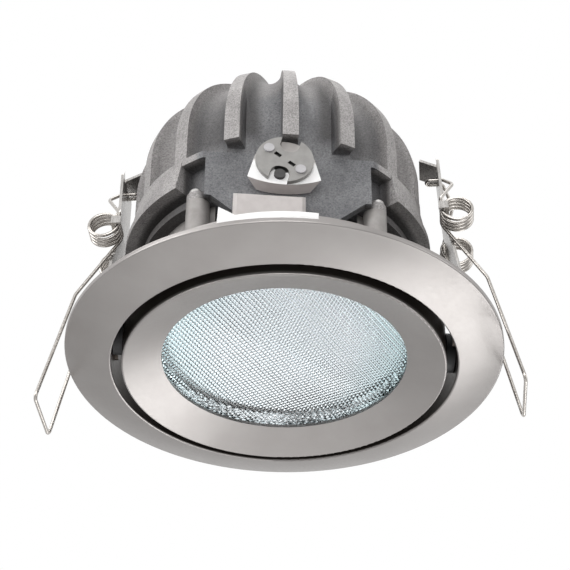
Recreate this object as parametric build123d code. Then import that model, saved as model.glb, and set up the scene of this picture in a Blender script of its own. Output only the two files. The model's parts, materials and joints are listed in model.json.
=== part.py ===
"""Recessed tilting ceiling spotlight, in millimetres.

The ceiling is the plane z = 0 and +Z points up into the ceiling void. The head tilts about an axis
along X, and the lampholder faces -Y.
"""
import os
from math import cos, pi, radians, sin, sqrt, tan

from build123d import *

# Trim ring: conical bezel, rolled edges, collar and the land that bears on the ceiling
TRIM_R = 75.0
RIM_T = 1.8
BEZEL_W = 16.0
TRIM_DROP = 6.1
FACE_WALL = 1.9
FACE_CROWN = 0.35
EDGE_R = 0.6
LAND_W = 2.4
COLLAR_WALL = 2.2
COLLAR_H = 12.8
PAD_STEP = 2.0
PAD_W = 13.0

# Tilt axis of the head
PIVOT_Z = 5.0
PIVOT_PIN_R = 2.5
PIVOT_BOSS_R = 5.8
PIVOT_BOSS_STEP = 1.3
PIVOT_HEAD_R = 4.2
PIVOT_HEAD_T = 2.4
PIVOT_SEAT_R = 4.4
PIVOT_SEAT_L = 4.6
WASHER_R = 6.8
FIT = 0.05
RUNNING_GAP = 0.2

# Lens ring
GIMBAL_GAP = 3.6
LENS_DROP = 1.0
LENS_WALL = 1.7
SKIRT_TOP = 14.0
FUNNEL_RISE = 4.7
FUNNEL_WALL = 1.6
GLASS_LIP = 3.0
LIP_T = 1.2
LEDGE_W = 5.2
LEDGE_T = 2.0
LEDGE_TOP = 10.0
NEST_WALL = 1.7
NEST_H = 3.2

# Glass, seal and reflector
GLASS_INSET = 8.7
GLASS_T = 4.0
GLASS_GAP = 0.3
GASKET_W = 3.5
GASKET_T = 1.6
SHELL_T = 1.0
REFLECTOR_INSET = 3.2
REFLECTOR_H = 59.0

# Lamp carrier; the upper part of the head stands beside the ring's own axis by HEAD_SHIFT
HEAD_SHIFT = -2.6
CARRIER_INSET = 9.5
CARRIER_WALL = 1.8
CARRIER_TOP = 34.0
CARRIER_FLANGE_T = 1.6
FLANGE_GAP = 0.4
SLIT_W = 2.2
SLIT_COUNT = 12
SLIT_MARGIN = 3.5
WINDOW_HALF = 24.0
POST_R = 4.0
POST_OUT = 3.4
POST_ANGLE = 39.0
SCREW_R = 1.5
SCREW_HEAD_R = 2.3
SCREW_HEAD_T = 1.9
CARRIER_SCREW_INSET = 3.3
CARRIER_SCREW_ANGLE = 28.0
CARRIER_SCREW_L = 5.0
SINK_SCREW_OUT = 1.4
SINK_SCREW_L = 12.0

# Finned heat sink
SPRING_CLEARANCE = 5.0
NECK_STEP = 5.5
NECK_WALL = 6.0
SINK_FLANGE_W = 2.0
SINK_FLANGE_T = 3.0
SINK_NECK_H = 13.4
SINK_RIM_H = 2.8
SINK_STRAIGHT_H = 12.3
SKIRT_GAP = 2.3
SKIRT_FLARE = 2.4
SKIRT_LIP_H = 2.8
SKIRT_LIP_STEP = 0.5
SKIRT_END = 44.0
DOME_RISE = 48.2
CAVITY_STRAIGHT_H = 23.0
CAVITY_RISE = 43.0
FIN_COUNT = 16
FIN_FOOT_W = 5.6
FIN_CROWN_W = 3.0
FRONT_FIN_LIFT = 2.0
GROOVE_FOOT_D = 8.3
GROOVE_CROWN_D = 0.5
GROOVE_STATIONS = (0.0, 22.0, 42.0, 61.0, 78.0)
FRONT_INSET = 9.0
FRONT_T = 2.9
SCREW_SIDE_GAP = 0.3
APRON_STEP = 2.2
APRON_TAPER = 9.5
APRON_DROP = 8.0

# Lampholder, lamp and terminal block
LAMP_SHIFT = -1.8
LAMP_Z = 45.6
HOLDER_W = 18.2
HOLDER_H = 16.0
HOLDER_CORNER_R = 3.5
HOLDER_STEP = 5.5
HOLDER_L = 12.5
HOLDER_GAP = 0.25
HOLDER_SHOULDER = 10.6
HOLDER_RISE = 9.0
HOLDER_FOOT_HALF = 12.4
HOLDER_FOOT_Z = 7.2
HOLDER_SAG = 2.6
CAP_R = 9.8
CAP_T = 1.6
CAP_TURN = -14.5
NOTCH_W = 6.6
NOTCH_D = 6.4
RIVET_ANGLE = -39.0
CAP_RIVET_AT = 6.9
CAP_RIVET_R = 1.2
CAP_RIVET_HEAD_R = 1.8
CAP_RIVET_HEAD_T = 0.6
WIRE_SLOT_AT = 3.0
WIRE_SLOT_W = 2.6
WIRE_SLOT_H = 1.4
WIRE_SLOT_D = 1.1
CAP_SCREW_AT = 6.2
CAP_SCREW_L = 5.0
CAP_SCREW_R = 1.2
CAP_SCREW_HEAD_R = 1.9
CAP_SCREW_HEAD_T = 1.2
LAMP_BASE_R = 8.0
LAMP_BASE_L = 11.0
BULB_R = 6.5
BULB_L = 38.0
BULB_WALL = 1.0
BURNER_R = 3.0
BURNER_L = 11.0
BURNER_LEAD_R = 0.9
BURNER_LEAD_L = 14.0
PIN_R = 0.9
PIN_L = 6.0
PIN_SPACING = 8.0
BLOCK_W = 24.0
BLOCK_T = 6.2
BLOCK_TOP = 30.8
BLOCK_X = -9.2
BLOCK_CHAMFER = 1.2
SEAT_GAP = 0.3
PORT_R = 1.7
PORT_D = 4.0
PORT_DROP = 14.0
PORT_SPACING = 10.0

# Sheet-metal spring brackets, in a frame whose x axis points outward through the bracket
BRACKET_YAW = -9.5
SHEET = 1.0
FOOT_W = 11.0
FOOT_Z = 0.8
KNEE_Z = 13.8
LEAN_RIGHT = 9.0
LEAN_LEFT = 5.8
BEND_BACK = 6.0
NECK_Z = 54.0
BODY_W = 18.0
WAIST_W = 14.4
TAB_W = 10.6
TAB_SLOT = 0.9
TAB_ROOT_Z = 77.5
TAB_RISE = 27.0
TAB_L = 7.0
PRONG_TOP = 81.0
PRONG_TAPER = 3.0
SHOULDER_H = 5.0
LUG_BAR_H = 3.0
LUG_TIP_L = 2.4
RIVET_R = 1.6
RIVET_HEAD_R = 2.9
RIVET_HEAD_T = 1.3
RIVET_TAIL_R = 2.4
RIVET_TAIL_T = 1.3
RIVET_Z = (3.9, 10.3)

# Double torsion springs
WIRE = 1.25
COIL_R = 5.4
COIL_Z = 49.5
COIL_AHEAD = 4.0
COIL_TURNS = 4
COIL_PITCH = 1.8
COIL_OUT_Y = 15.6
ANCHOR_STEP = 0.3
ANCHOR_GAP = 0.25
ANCHOR_RISE = 3.0
ANCHOR_BULGE = 3.4
ANCHOR_BULGE_Y = 6.5
ANCHOR_BULGE_Z = 68.0
HAIRPIN_Z = 74.6
HAIRPIN_W = 2.7
HAIRPIN_REACH = 4.0
HAIRPIN_BEND = 1.3
ARM_EXIT = 60.0
ARM_UPPER_L = 27.5
ARM_LOWER_DIP = 77.5
ARM_LOWER_L = 45.0
ARM_BEND_R = 6.0
ARM_BAR_Y = 11.9
ARM_CORNER_R = 2.0
ARM_LEAD_L = 4.0

# Levels and radii that follow from the values above
TRIM_BORE_R = TRIM_R - BEZEL_W
LENS_R = TRIM_BORE_R - GIMBAL_GAP
LENS_Z = -(TRIM_DROP + LENS_DROP)
LIP_Z = LENS_Z + FUNNEL_RISE
SEAT_Z = LIP_Z + LIP_T
GASKET_Z = SEAT_Z + GLASS_T
REFLECTOR_Z = GASKET_Z + GASKET_T
CARRIER_Z = REFLECTOR_Z + SHELL_T
FLANGE_TOP = LEDGE_TOP + CARRIER_FLANGE_T
SKIRT_R = LENS_R - LENS_WALL
GLASS_R = SKIRT_R - GLASS_INSET
GLASS_OPEN_R = GLASS_R - GLASS_LIP
CARRIER_R = SKIRT_R - CARRIER_INSET
CARRIER_SCREW_RING_R = SKIRT_R - CARRIER_SCREW_INSET
POST_RING_R = CARRIER_R + POST_OUT
SINK_SCREW_RING_R = POST_RING_R + SINK_SCREW_OUT
REFLECTOR_R = CARRIER_R - REFLECTOR_INSET
COLLAR_R = TRIM_BORE_R + COLLAR_WALL
PIVOT_FACE_X = COLLAR_R + PIVOT_BOSS_STEP
PAD_X = COLLAR_R + PAD_STEP
SINK_R = PAD_X - (COIL_Z - KNEE_Z) * tan(radians(LEAN_LEFT)) + HEAD_SHIFT - SPRING_CLEARANCE
SINK_SKIRT_R = SINK_R + SKIRT_FLARE
SINK_NECK_R = SINK_R - NECK_STEP
SINK_FLANGE_R = SINK_NECK_R + SINK_FLANGE_W
CAVITY_R = SINK_NECK_R - NECK_WALL
FRONT_Y = SINK_R - FRONT_INSET
FRONT_HALF = SINK_SCREW_RING_R * sin(radians(POST_ANGLE)) - SCREW_HEAD_R - SCREW_SIDE_GAP
APRON_HALF = FRONT_HALF - APRON_STEP
APRON_FOOT_HALF = APRON_HALF - APRON_TAPER
NECK_BOTTOM = CARRIER_TOP + SINK_FLANGE_T
SKIRT_Z = NECK_BOTTOM + SKIRT_GAP
RIM_Z = NECK_BOTTOM + SINK_NECK_H
FIN_Z = RIM_Z + SINK_RIM_H
SPRINGLINE_Z = FIN_Z + SINK_STRAIGHT_H
CROWN_Z = SPRINGLINE_Z + DOME_RISE
LAMP_X = HEAD_SHIFT + LAMP_SHIFT
HOLDER_Y = -FRONT_Y - HOLDER_STEP
HOLDER_BACK_Y = HOLDER_Y + HOLDER_L
LUG_TIP_Y = COIL_OUT_Y + ANCHOR_STEP + WIRE / 2 + ANCHOR_GAP
HEAD_POS = Pos(HEAD_SHIFT, 0, 0)


def face_of(points):
    return make_face(Polyline(*points, close=True))


def revolved(profile):
    return revolve(Plane.XZ * profile, Axis.Z)


def disc(radius, z0, z1):
    return Pos(0, 0, z0) * extrude(Circle(radius), z1 - z0)


def ring(r_out, r_in, z0, z1):
    return Pos(0, 0, z0) * extrude(Circle(r_out) - Circle(r_in), z1 - z0)


def x_rod(radius, x0, x1, z):
    return Pos(x0, 0, z) * Rot(0, 90, 0) * extrude(Circle(radius), x1 - x0)


def y_rod(radius, x, z, y0, y1):
    return Pos(x, y0, z) * Rot(-90, 0, 0) * extrude(Circle(radius), y1 - y0)


def block(x0, x1, y0, y1, z0, z1):
    size = (x1 - x0, y1 - y0, z1 - z0)
    return Pos((x0 + x1) / 2, (y0 + y1) / 2, (z0 + z1) / 2) * Box(*size)


def polar(radius, azimuth):
    return Pos(radius * cos(radians(azimuth)), radius * sin(radians(azimuth)), 0)


def turned(azimuth, shape):
    return Rot(0, 0, azimuth) * shape


def fused(shapes):
    solid = shapes[0]
    for shape in shapes[1:]:
        solid = solid + shape
    return solid


def biarc(p0, t0, p1, t1):
    span = p1 - p0
    total = t0 + t1
    bend = 2 * (1 - t0.dot(t1))
    reach = (sqrt(span.dot(total) ** 2 + bend * span.dot(span)) - span.dot(total)) / bend
    joint = (p0 + p1 + (t0 - t1) * reach) * 0.5
    heading = (p1 - t1 * reach - p0 - t0 * reach).normalized()
    return [Edge.make_tangent_arc(p0, t0, joint), Edge.make_tangent_arc(joint, heading, p1)]


def both_sides(shape):
    return [shape, turned(180, shape)]


def bezel_z(radius):
    return -RIM_T - (TRIM_DROP - RIM_T) * (TRIM_R - radius) / (TRIM_R - TRIM_BORE_R)


def trim_ring():
    foot = TRIM_BORE_R + EDGE_R
    lip = TRIM_R - EDGE_R
    mid = (foot + lip) / 2
    diag = EDGE_R * (1 - sqrt(0.5))
    land_r = TRIM_R - LAND_W
    outline = [
        Line((TRIM_R, 0), (TRIM_R, -RIM_T + EDGE_R)),
        ThreePointArc((TRIM_R, -RIM_T + EDGE_R), (TRIM_R - diag, -RIM_T + diag), (lip, -RIM_T)),
        ThreePointArc((lip, -RIM_T), (mid, bezel_z(mid) - FACE_CROWN), (foot, -TRIM_DROP)),
        ThreePointArc(
            (foot, -TRIM_DROP),
            (TRIM_BORE_R + diag, -TRIM_DROP + diag),
            (TRIM_BORE_R, -TRIM_DROP + EDGE_R),
        ),
        Polyline(
            (TRIM_BORE_R, -TRIM_DROP + EDGE_R),
            (TRIM_BORE_R, COLLAR_H),
            (COLLAR_R, COLLAR_H),
            (COLLAR_R, bezel_z(COLLAR_R) + FACE_WALL),
            (land_r, bezel_z(land_r) + FACE_WALL),
            (land_r, 0),
            (TRIM_R, 0),
        ),
    ]
    solid = revolved(make_face(outline))
    pad_foot = bezel_z(PAD_X) + FACE_WALL / 2
    pad = block(TRIM_BORE_R - 1, PAD_X, -PAD_W / 2, PAD_W / 2, pad_foot, COLLAR_H)
    boss = x_rod(PIVOT_BOSS_R, TRIM_BORE_R - 1, PIVOT_FACE_X, PIVOT_Z)
    added = both_sides(turned(BRACKET_YAW, pad)) + both_sides(boss)
    solid = fused([solid] + added) - disc(TRIM_BORE_R, -TRIM_DROP, COLLAR_H + 1)
    bores = both_sides(x_rod(PIVOT_PIN_R + FIT, TRIM_BORE_R - 2, TRIM_R, PIVOT_Z))
    bores += both_sides(x_rod(PIVOT_HEAD_R + SEAT_GAP, PIVOT_FACE_X, TRIM_R, PIVOT_Z))
    for z in RIVET_Z:
        bores += both_sides(turned(BRACKET_YAW, x_rod(RIVET_R + FIT, TRIM_BORE_R - 2, TRIM_R, z)))
    return solid - bores


def lens_ring():
    slope = FUNNEL_RISE / (LENS_R - GLASS_OPEN_R)
    nest_r = GLASS_R + GLASS_GAP
    nest_out = nest_r + NEST_WALL
    diag = EDGE_R * (1 - sqrt(0.5))
    outline = [
        ThreePointArc(
            (LENS_R, LENS_Z + EDGE_R),
            (LENS_R - diag, LENS_Z + diag),
            (LENS_R - EDGE_R, LENS_Z),
        ),
        Polyline(
            (LENS_R - EDGE_R, LENS_Z),
            (LENS_R - 2 * EDGE_R, LENS_Z + EDGE_R * slope),
            (GLASS_OPEN_R, LIP_Z),
            (GLASS_OPEN_R, SEAT_Z),
            (nest_r, SEAT_Z),
            (nest_r, SEAT_Z + NEST_H),
            (nest_out, SEAT_Z + NEST_H),
            (nest_out, LENS_Z + (LENS_R - nest_out) * slope + FUNNEL_WALL),
            (SKIRT_R, LENS_Z + LENS_WALL * slope + FUNNEL_WALL),
            (SKIRT_R, LEDGE_TOP - LEDGE_T),
            (SKIRT_R - LEDGE_W, LEDGE_TOP - LEDGE_T),
            (SKIRT_R - LEDGE_W, LEDGE_TOP),
            (SKIRT_R, LEDGE_TOP),
            (SKIRT_R, SKIRT_TOP),
            (LENS_R, SKIRT_TOP),
            (LENS_R, LENS_Z + EDGE_R),
        ),
    ]
    solid = revolved(make_face(outline))
    seat = x_rod(PIVOT_SEAT_R, SKIRT_R - PIVOT_SEAT_L, SKIRT_R + LENS_WALL / 2, PIVOT_Z)
    bore = x_rod(PIVOT_PIN_R + FIT, SKIRT_R - PIVOT_SEAT_L - 1, LENS_R + 1, PIVOT_Z)
    solid = fused([solid] + both_sides(seat)) - both_sides(bore)
    return solid - screw_set(CARRIER_SCREW_RING_R, CARRIER_SCREW_ANGLE, FIT, LEDGE_TOP, CARRIER_SCREW_L)


def four_angles(angle):
    return (angle, 180 - angle, 180 + angle, -angle)


def screw_set(ring_r, angle, extra, head_z, length):
    shank = disc(SCREW_R + extra, head_z - length, head_z)
    return [polar(ring_r, a) * shank for a in four_angles(angle)]


def screws(ring_r, angle, head_z, length):
    shank = disc(SCREW_R, head_z - length, head_z + SCREW_HEAD_T / 2)
    head = disc(SCREW_HEAD_R, head_z, head_z + SCREW_HEAD_T)
    head = fillet(head.edges().group_by(Axis.Z)[-1], SCREW_HEAD_T / 2.2)
    return [polar(ring_r, a) * (shank + head) for a in four_angles(angle)]


def pivot_screw():
    inner = SKIRT_R - PIVOT_SEAT_L
    seat = PIVOT_FACE_X + RUNNING_GAP
    head = x_rod(PIVOT_HEAD_R, seat, seat + PIVOT_HEAD_T, PIVOT_Z)
    head = fillet(head.edges().group_by(Axis.X)[-1], PIVOT_HEAD_T / 3)
    return x_rod(PIVOT_PIN_R, inner, seat + PIVOT_HEAD_T / 2, PIVOT_Z) + head


def pivot_washer():
    face = sqrt(TRIM_BORE_R**2 - WASHER_R**2) - FIT
    washer = x_rod(WASHER_R, LENS_R + FIT, face, PIVOT_Z)
    return washer - x_rod(PIVOT_PIN_R + FIT, LENS_R - 1, TRIM_BORE_R, PIVOT_Z)


def oval_dome(radius, rise, z0):
    """Solid dome on the level z0; each side of its section is two arcs, upright below and flat above."""
    edges = biarc(Vector(radius, 0, 0), Vector(0, 0, 1), Vector(0, 0, rise), Vector(-1, 0, 0))
    edges.append(Edge.make_line((0, 0, rise), (0, 0, 0)))
    edges.append(Edge.make_line((0, 0, 0), (radius, 0, 0)))
    return Pos(0, 0, z0) * revolve(Face(Wire(edges)), Axis.Z)


def reflector():
    bowl = oval_dome(REFLECTOR_R + SHELL_T, REFLECTOR_H + SHELL_T, REFLECTOR_Z)
    flange = disc(CARRIER_R, REFLECTOR_Z, CARRIER_Z)
    solid = HEAD_POS * (flange + bowl - oval_dome(REFLECTOR_R, REFLECTOR_H, REFLECTOR_Z))
    return solid - y_rod(LAMP_BASE_R + 1, LAMP_X, LAMP_Z, -FRONT_Y, -BULB_R)


def post_angles():
    return four_angles(90 - POST_ANGLE)


def lamp_carrier():
    inner = CARRIER_R - CARRIER_WALL
    wall = HEAD_POS * ring(CARRIER_R, inner, CARRIER_Z, CARRIER_TOP)
    flange = disc(SKIRT_R - FLANGE_GAP, LEDGE_TOP, FLANGE_TOP)
    post = disc(POST_R, FLANGE_TOP, CARRIER_TOP)
    posts = [HEAD_POS * polar(POST_RING_R, a) * post for a in post_angles()]
    bore = HEAD_POS * disc(inner, CARRIER_Z - 1, CARRIER_TOP + 1)
    solid = fused([wall, flange] + posts) - bore
    slit_z = (FLANGE_TOP + SLIT_MARGIN, CARRIER_TOP - SLIT_MARGIN)
    slit = block(inner - 1, CARRIER_R + 1, -SLIT_W / 2, SLIT_W / 2, *slit_z)
    slits = [HEAD_POS * turned((k + 0.5) * 360 / SLIT_COUNT, slit) for k in range(SLIT_COUNT)]
    window = HEAD_POS * block(-WINDOW_HALF, WINDOW_HALF, -LENS_R, 0, FLANGE_TOP, CARRIER_TOP + 1)
    window = window - HEAD_POS * disc(inner - 1, CARRIER_Z, CARRIER_TOP + 1)
    holes = screw_set(CARRIER_SCREW_RING_R, CARRIER_SCREW_ANGLE, FIT, FLANGE_TOP, CARRIER_SCREW_L)
    sunk = screw_set(SINK_SCREW_RING_R, 90 - POST_ANGLE, FIT, NECK_BOTTOM, SINK_SCREW_L)
    return solid - slits - window - holes - [HEAD_POS * hole for hole in sunk]


def groove_cutter():
    pitch = 2 * pi / FIN_COUNT
    sections = []
    for t_deg in (None,) + GROOVE_STATIONS:
        t = radians(t_deg or 0.0)
        share = (t_deg or 0.0) / GROOVE_STATIONS[-1]
        r = SINK_R * cos(t)
        z = FIN_Z if t_deg is None else SPRINGLINE_Z + DOME_RISE * sin(t)
        tangent = Vector(-SINK_R * sin(t), 0, DOME_RISE * cos(t)).normalized()
        normal = Vector(tangent.Z, 0, -tangent.X)
        fin = FIN_FOOT_W + (FIN_CROWN_W - FIN_FOOT_W) * share
        width = max(pitch * r - fin, GROOVE_CROWN_D * 2)
        depth = GROOVE_CROWN_D + (GROOVE_FOOT_D - GROOVE_CROWN_D) * cos(share * pi / 2)
        radius = (width**2 / 4 + depth**2) / (2 * depth)
        centre = Vector(r, 0, z) + normal * (radius - depth)
        sections.append(Plane(origin=centre, x_dir=(0, 1, 0), z_dir=tangent) * Circle(radius))
    return loft(sections)


def sink_skirt():
    """Flared outer wall below the fins, open towards the front plate."""
    wall = revolved(face_of([
        (SINK_NECK_R - 1, SKIRT_Z),
        (SINK_SKIRT_R, SKIRT_Z),
        (SINK_SKIRT_R, SKIRT_Z + SKIRT_LIP_H),
        (SINK_SKIRT_R - SKIRT_LIP_STEP, SKIRT_Z + SKIRT_LIP_H),
        (SINK_R, FIN_Z),
        (SINK_NECK_R - 1, FIN_Z),
    ]))
    reach = 2 * SINK_SKIRT_R
    side = reach * sin(radians(SKIRT_END))
    front = -reach * cos(radians(SKIRT_END))
    sector = face_of([(0, 0), (side, front), (side, -reach), (-side, -reach), (-side, front)])
    opening = Pos(0, 0, SKIRT_Z - 1) * extrude(sector, RIM_Z - SKIRT_Z + 1)
    lip_opening = Pos(0, 0, SKIRT_Z - 1) * extrude(sector, FIN_Z - SKIRT_Z + 2)
    wall = wall - (opening - disc(SINK_NECK_R, SKIRT_Z - 2, FIN_Z))
    return wall - (lip_opening - disc(SINK_R, SKIRT_Z - 2, FIN_Z + 2))


def heat_sink():
    step = 360 / FIN_COUNT
    dome = disc(SINK_R, RIM_Z, SPRINGLINE_Z)
    crown = oval_dome(SINK_R, DOME_RISE, SPRINGLINE_Z)
    neck = disc(SINK_NECK_R, CARRIER_TOP, RIM_Z)
    flange = disc(SINK_FLANGE_R, CARRIER_TOP, NECK_BOTTOM)
    ear = disc(POST_R, CARRIER_TOP, NECK_BOTTOM)
    ears = [polar(POST_RING_R, a) * ear for a in post_angles()]
    cutter = groove_cutter()
    solid = dome + crown
    solid = solid - [turned(-90 + (k + 0.5) * step, cutter) for k in range(FIN_COUNT)]
    solid = fused([solid, sink_skirt(), neck, flange] + ears)
    cavity_top = CARRIER_TOP + CAVITY_STRAIGHT_H
    cavity = disc(CAVITY_R, CARRIER_TOP - 1, cavity_top)
    cavity = cavity + oval_dome(CAVITY_R, CAVITY_RISE, cavity_top)
    front = block(-SINK_R, SINK_R, -2 * SINK_R, -FRONT_Y, CARRIER_TOP - 1, CROWN_Z)
    fin_foot = FIN_Z + FRONT_FIN_LIFT
    slab = block(FRONT_Y - 2, SINK_R + 1, -FIN_FOOT_W / 2, FIN_FOOT_W / 2, fin_foot, CROWN_Z)
    front = front - [turned(-90 + k * step, slab) for k in (-2, -1, 0, 1, 2)]
    plate = block(-FRONT_HALF, FRONT_HALF, -FRONT_Y, -FRONT_Y + FRONT_T, CARRIER_TOP, FIN_Z)
    apron_outline = face_of([
        (-APRON_HALF, CARRIER_TOP),
        (APRON_HALF, CARRIER_TOP),
        (APRON_FOOT_HALF, CARRIER_TOP - APRON_DROP),
        (-APRON_FOOT_HALF, CARRIER_TOP - APRON_DROP),
    ])
    apron = Pos(0, -FRONT_Y + FRONT_T, 0) * extrude(Plane.XZ * apron_outline, FRONT_T)
    solid = solid - cavity - front
    solid = fused([solid, plate, apron])
    sunk = screw_set(SINK_SCREW_RING_R, 90 - POST_ANGLE, FIT, NECK_BOTTOM, SINK_SCREW_L)
    solid = HEAD_POS * (solid - sunk)
    return solid - holder_prism(HOLDER_GAP, -2 * SINK_R, HOLDER_BACK_Y + 2)


def holder_prism(extra, y0, y1):
    section = RectangleRounded(HOLDER_W + 2 * extra, HOLDER_H + 2 * extra, HOLDER_CORNER_R + extra)
    return Pos(LAMP_X, y1, LAMP_Z) * extrude(Plane.XZ * section, y1 - y0)


def pin_rods(radius):
    offsets = (-PIN_SPACING / 2, PIN_SPACING / 2)
    return [y_rod(radius, LAMP_X + dx, LAMP_Z, HOLDER_BACK_Y - PIN_L, HOLDER_BACK_Y) for dx in offsets]


def on_cap(distance, angle, shape):
    dx = distance * cos(radians(angle))
    dz = distance * sin(radians(angle))
    return Pos(LAMP_X + dx, 0, LAMP_Z + dz) * shape


def cap_rivet_spots(shape):
    return [on_cap(CAP_RIVET_AT, RIVET_ANGLE + turn, shape) for turn in (0, 180)]


def holder_front():
    """Part of the holder ahead of the plate: round above, with a wide foot, drawn in towards the plate."""
    foot = (HOLDER_FOOT_HALF, -HOLDER_FOOT_Z)
    other = (-HOLDER_FOOT_HALF, -HOLDER_FOOT_Z)
    outline = make_face([
        ThreePointArc(other, (0, -HOLDER_FOOT_Z - HOLDER_SAG), foot),
        Line(foot, (HOLDER_SHOULDER, 0)),
        ThreePointArc((HOLDER_SHOULDER, 0), (0, HOLDER_RISE), (-HOLDER_SHOULDER, 0)),
        Line((-HOLDER_SHOULDER, 0), other),
    ])
    root_y = HOLDER_Y + HOLDER_STEP - SEAT_GAP
    solid = Pos(0, root_y, 0) * extrude(Plane.XZ * outline, root_y - HOLDER_Y)
    plan = face_of([
        (-HOLDER_FOOT_HALF, HOLDER_Y),
        (HOLDER_FOOT_HALF, HOLDER_Y),
        (HOLDER_W / 2, root_y),
        (-HOLDER_W / 2, root_y),
    ])
    solid = solid & extrude(plan, 2 * HOLDER_FOOT_HALF, both=True)
    return Pos(LAMP_X, 0, LAMP_Z) * solid


def lampholder_body():
    solid = holder_front() + holder_prism(0, HOLDER_Y + HOLDER_STEP / 2, HOLDER_BACK_Y)
    shank = y_rod(CAP_RIVET_R + FIT, 0, 0, HOLDER_Y - CAP_T, HOLDER_Y + 2 * CAP_T)
    screw = y_rod(CAP_SCREW_R + FIT, 0, 0, HOLDER_Y, HOLDER_Y + CAP_SCREW_L)
    holes = cap_rivet_spots(shank) + [on_cap(CAP_SCREW_AT, CAP_TURN - 90, screw)]
    return solid - holes - pin_rods(PIN_R + FIT)


def lampholder_cap():
    section = Circle(CAP_R)
    notch = Pos(0, CAP_R) * RectangleRounded(NOTCH_W, 2 * NOTCH_D, NOTCH_W / 2.2)
    for turn in (CAP_TURN, CAP_TURN + 180):
        section = section - Rot(0, 0, turn) * notch
    solid = Pos(LAMP_X, HOLDER_Y, LAMP_Z) * extrude(Plane.XZ * section, CAP_T)
    front_y = HOLDER_Y - CAP_T
    half_w = WIRE_SLOT_W / 2
    half_h = WIRE_SLOT_H / 2
    slot = block(-half_w, half_w, front_y - 1, front_y + WIRE_SLOT_D, -half_h, half_h)
    slot = Rot(0, -RIVET_ANGLE, 0) * slot
    slots = [on_cap(WIRE_SLOT_AT, RIVET_ANGLE + turn, slot) for turn in (0, 180)]
    shank = y_rod(CAP_RIVET_R + FIT, 0, 0, front_y - 1, HOLDER_Y + 1)
    return solid - slots - cap_rivet_spots(shank)


def lampholder_rivets():
    front_y = HOLDER_Y - CAP_T
    rivet = y_rod(CAP_RIVET_R, 0, 0, front_y - CAP_RIVET_HEAD_T / 2, HOLDER_Y + 2 * CAP_T)
    rivet = rivet + y_rod(CAP_RIVET_HEAD_R, 0, 0, front_y - CAP_RIVET_HEAD_T, front_y)
    return cap_rivet_spots(rivet)


def lampholder_screw():
    screw = y_rod(CAP_SCREW_R, 0, 0, HOLDER_Y - CAP_SCREW_HEAD_T / 2, HOLDER_Y + CAP_SCREW_L)
    screw = screw + y_rod(CAP_SCREW_HEAD_R, 0, 0, HOLDER_Y - CAP_SCREW_HEAD_T, HOLDER_Y)
    return on_cap(CAP_SCREW_AT, CAP_TURN - 90, screw)


def lamp_base():
    return y_rod(LAMP_BASE_R, LAMP_X, LAMP_Z, HOLDER_BACK_Y, HOLDER_BACK_Y + LAMP_BASE_L)


def lamp_end(radius, y0, length):
    shape = disc(radius, 0, length - radius) + oval_dome(radius, radius, length - radius)
    return Pos(LAMP_X, y0, LAMP_Z) * Rot(-90, 0, 0) * shape


def lamp_bulb():
    y0 = HOLDER_BACK_Y + LAMP_BASE_L
    return lamp_end(BULB_R, y0, BULB_L) - lamp_end(BULB_R - BULB_WALL, y0, BULB_L - BULB_WALL)


def lamp_burner():
    y0 = HOLDER_BACK_Y + LAMP_BASE_L
    lead = y_rod(BURNER_LEAD_R, LAMP_X, LAMP_Z, y0, y0 + BURNER_LEAD_L + BURNER_R)
    body = y_rod(BURNER_R, LAMP_X, LAMP_Z, y0 + BURNER_LEAD_L, y0 + BURNER_LEAD_L + BURNER_L)
    return lead + fillet(body.edges().filter_by(GeomType.CIRCLE), BURNER_R / 2)


def terminal_block():
    y1 = -FRONT_Y - SEAT_GAP
    solid = block(BLOCK_X - BLOCK_W / 2, BLOCK_X + BLOCK_W / 2, y1 - BLOCK_T, y1, FLANGE_TOP, BLOCK_TOP)
    solid = chamfer(solid.faces().sort_by(Axis.Y)[0].edges(), BLOCK_CHAMFER)
    offsets = (-PORT_SPACING / 2, PORT_SPACING / 2)
    z = BLOCK_TOP - PORT_DROP
    return solid - [y_rod(PORT_R, BLOCK_X + dx, z, y1 - BLOCK_T, y1 - BLOCK_T + PORT_D) for dx in offsets]


def mirrored_outline(points):
    return face_of(points + [(-y, z) for y, z in reversed(points)])


def strap_x(lean, z):
    """Inner face of a bracket's strap, which leans in above the knee and less so above the neck."""
    lower = max(0, min(z, NECK_Z) - KNEE_Z) * tan(radians(lean))
    upper = max(0, z - NECK_Z) * tan(radians(lean - BEND_BACK))
    return PAD_X - lower - upper


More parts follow.
